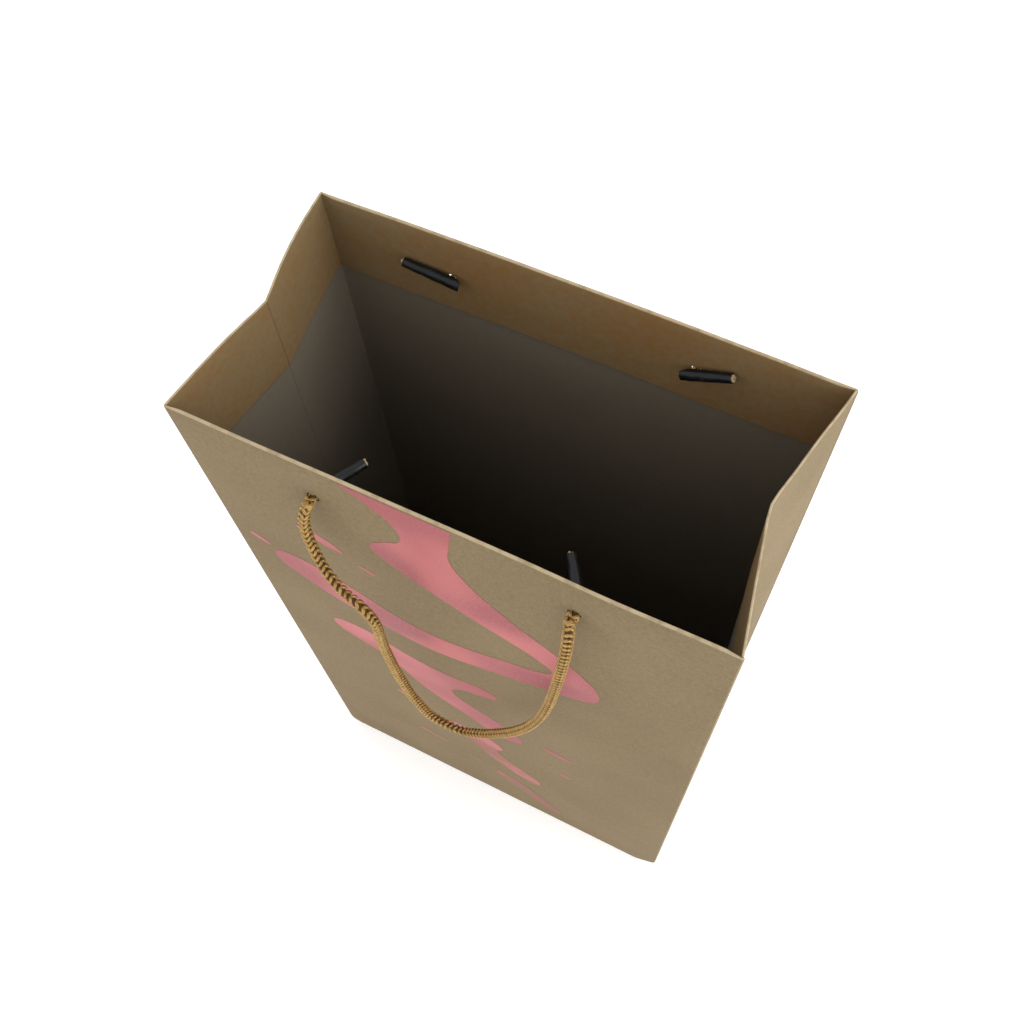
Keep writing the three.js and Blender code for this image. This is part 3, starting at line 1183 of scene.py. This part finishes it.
on_cord = {"front": [], "back": []}
for name, (mouth, cut) in SLEEVES.items():
    side = FRONT if name.startswith("front") else BACK
    word = name.split("_")[0]
    mouth, cut = Vector(mouth) * MM, Vector(cut) * MM
    along = (cut - mouth).normalized()
    across = math.copysign(HOLE_X, mouth.x)
    hole = Vector((across, side * (HALF_DEPTH - STUB_DEPTH), HOLE_Z))
    pivot = Vector((across, side * (HALF_DEPTH + PIVOT_OUT), HOLE_Z))
    towards_hole = None
    inside = mouth + along * 4 * MM
    if side == BACK:
        beside = mouth + along * (hole - mouth).dot(along)
        towards_hole = (hole - beside).normalized()
        inside = beside + along * 5 * MM
    tube = sleeve(name, mouth, cut, towards_hole)
    curve = route_curve(f"{name}_route", [pivot, hole, inside, inside + along * 3 * MM])
    end, line = knit(f"{name}_end", curve, end_radius)
    fibres_out = tuft(cut, along)
    pick(end)
    fibres_out.select_set(True)
    bpy.ops.object.join()
    for piece, node, finish_slot in ((tube, "sleeve", "black_sleeve"), (end, "cord_end", "gold_cord")):
        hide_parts(f"{name}_{node}")
        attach(piece, f"{name}_end")
        on_cord[word].append(piece)
    print(name, "sleeve", round((cut - mouth).length / MM, 1), "mm,", len(end.data.polygons), "faces")

for word, (handle, line) in handles.items():
    length_of(line)

# %% [markdown]
# ## The printed foil
# The front carries a hot-stamped splash of wine in pink metallic foil. The shape here is our
# own: a pour from the rim that curls back on itself, a trail below it and a few drops. Outlines
# are closed curves that fill themselves. They are cut along the panel's own grid, laid on the
# panel with Shrinkwrap and thickened by a hair, so the foil bends with the board.

# %% Splash outlines
# Places on the panel: how far across and how high, in millimetres.
POUR = [
    (-36, 359), (-14, 359), (6, 359), (4, 346), (3, 334), (9, 321), (22, 307), (38, 294), (51, 281),
    (58, 268), (56, 256), (46, 249), (32, 244), (16, 238), (0, 232), (-16, 228), (-32, 229), (-46, 233),
    (-60, 238), (-73, 246), (-83, 256), (-82, 265), (-72, 268), (-58, 265), (-44, 259), (-30, 252),
    (-14, 249), (2, 252), (18, 258), (33, 264), (39, 270), (34, 277), (22, 284), (6, 291), (-10, 299),
    (-24, 308), (-30, 317), (-24, 325), (-16, 333), (-17, 344), (-26, 353),
]
TRAIL = [
    (-68, 206), (-58, 210), (-46, 208), (-34, 202), (-20, 199), (-8, 200), (6, 203), (12, 198),
    (4, 191), (-8, 184), (-12, 175), (-4, 166), (8, 160), (18, 152), (22, 142), (14, 136), (4, 138),
    (-8, 146), (-22, 155), (-32, 164), (-38, 174), (-46, 183), (-58, 190), (-68, 198),
]
SPILL = [
    (-20, 118), (-8, 122), (4, 119), (10, 110), (6, 101), (12, 92), (22, 84), (30, 74), (26, 66),
    (16, 70), (6, 78), (-2, 88), (-8, 98), (-16, 104), (-24, 111),
]
RUN_OUT = [(4, 56), (14, 54), (24, 46), (34, 34), (42, 22), (36, 18), (26, 26), (16, 36), (6, 46)]
DROPS = [  # place, half length, half width and slope in degrees
    (-54, 301, 10, 3.2, -24), (-88, 271, 5, 1.8, -30), (-36, 290, 4, 1.3, -20), (40, 150, 8, 2.6, -15),
    (-42, 128, 7, 2.4, -20), (-34, 70, 9, 2.8, -12), (44, 118, 4, 1.6, -25), (-10, 60, 5, 1.8, -15),
]
RIM_CUT = 358  # the pour is cut off straight above this height
# width of the painted shadow round each foil shape
EDGE_SHADE_WIDTH = 0.3 * MM
FOIL_LIFT = 0.05 * MM
FOIL_THICK = 0.03 * MM


def drop_outline(x, z, long, wide, slope):
    turn = Matrix.Rotation(math.radians(slope), 2)
    ring = [math.tau * i / 8 for i in range(8)]
    return [Vector((x, z)) + turn @ Vector((long * math.cos(a), wide * math.sin(a))) for a in ring]


# %% Foil finish
def foil_finish(name, bright, deep, kraft_tone):
    """Pink foil: satin metal over the board's grain, rubbed away in patches near the foot."""
    finish = Finish(name, Specular_IOR_Level=0.5)
    zones = finish.noise(22, 1).ramp(0.35, 0.65)
    grain = finish.noise(1400, 2)
    color = finish.mix(zones, bright, deep)
    color = finish.mix(grain.ramp(0.35, 0.75) * 0.3, color, tone(0.58, 0.22, 0.2))
    low_down = 1 - finish.z.ramp(25 * MM, 165 * MM)
    patches = finish.noise(90, 4, (1, 1, 1.6)).ramp(0.36, 0.66)
    worn = (low_down * patches * 0.95 + low_down * 0.25).least(0.9)
    pinholes = finish.noise(2100, 1).ramp(0.68, 0.76) * 0.4
    bare = worn.most(pinholes)
    finish.wear("Base Color", finish.mix(bare, color, kraft_tone))
    finish.wear("Metallic", (1 - bare) * 0.5)
    finish.wear("Roughness", 0.42 + grain * 0.12 + bare * 0.3)
    finish.wear("Normal", finish.bump(grain * 0.6 + fibres(finish) * 0.5, 0.04 * MM, 0.6))
    return finish.material


pink_foil = foil_finish("pink_foil", tone(0.47, 0.105, 0.105), tone(0.28, 0.035, 0.045), KRAFT_TONE)
# a darker foil for a thin band round each shape: a painted shadow along the stamped edge
foil_edge_shade = foil_finish("foil_edge_shade", tone(0.33, 0.06, 0.05), tone(0.25, 0.04, 0.04), KRAFT_TONE)


# %% Lay the foil
def filled(outlines):
    """Flat filled shapes on the XY plane, from closed outlines in millimetres."""
    data = bpy.data.curves.new("splash", "CURVE")
    data.dimensions = "2D"
    data.fill_mode = "BOTH"
    data.resolution_u = 8
    for outline in outlines:
        spline = data.splines.new("BEZIER")
        spline.bezier_points.add(len(outline) - 1)
        spline.use_cyclic_u = True
        for point, (x, z) in zip(spline.bezier_points, outline):
            point.co = (x * MM, z * MM, 0)
            point.handle_left_type = point.handle_right_type = "VECTOR" if z > RIM_CUT else "AUTO"
    flat = bpy.data.objects.new("splash_foil", data)
    bpy.context.collection.objects.link(flat)
    pick(flat)
    bpy.ops.object.convert(target="MESH")
    return bpy.context.object


foil = filled([POUR, TRAIL, SPILL, RUN_OUT] + [drop_outline(*drop) for drop in DROPS])
foil.data.materials.append(pink_foil)
foil.data.materials.append(foil_edge_shade)
foil.rotation_euler.x = QUARTER_TURN
foil.location.y = -HALF_DEPTH - 3 * MM
fix_in_place(foil)
open_mesh(foil, "FACE")
bpy.ops.mesh.select_all(action="SELECT")
bpy.ops.mesh.remove_doubles(threshold=0.02 * MM)
# a thin band round every shape takes the painted edge shadow
bpy.ops.mesh.inset(thickness=EDGE_SHADE_WIDTH, use_boundary=True)
bpy.ops.mesh.select_all(action="INVERT")
foil.active_material_index = 1
bpy.ops.object.material_slot_assign()
for step in range(round(2 * PANEL_SPAN[1] / CELL) + 1):
    bpy.ops.mesh.select_all(action="SELECT")
    bpy.ops.mesh.bisect(plane_co=(PANEL_SPAN[0] + step * CELL, 0, 0), plane_no=(1, 0, 0))
for step in range(round(RIM / CELL)):
    bpy.ops.mesh.select_all(action="SELECT")
    bpy.ops.mesh.bisect(plane_co=(0, 0, step * CELL), plane_no=(0, 0, 1))
close_mesh()
lay = foil.modifiers.new("lay", "SHRINKWRAP")
lay.target = front_board
lay.wrap_method = "PROJECT"
lay.use_project_y = True
lay.use_positive_direction = True
lay.use_negative_direction = False
lay.offset = FOIL_LIFT
apply_modifiers(foil)
open_mesh(foil)
bpy.ops.mesh.select_all(action="SELECT")
bpy.ops.mesh.normals_make_consistent(inside=False)
shape = bmesh.from_edit_mesh(foil.data)
if sum(face.normal.y for face in shape.faces) > 0:
    bpy.ops.mesh.flip_normals()
close_mesh()
film = foil.modifiers.new("film", "SOLIDIFY")
film.thickness = FOIL_THICK
film.offset = 1
apply_modifiers(foil)
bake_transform(foil)
print("foil", len(foil.data.polygons), "faces, at most", round(max(foil.dimensions) / MM), "mm long")
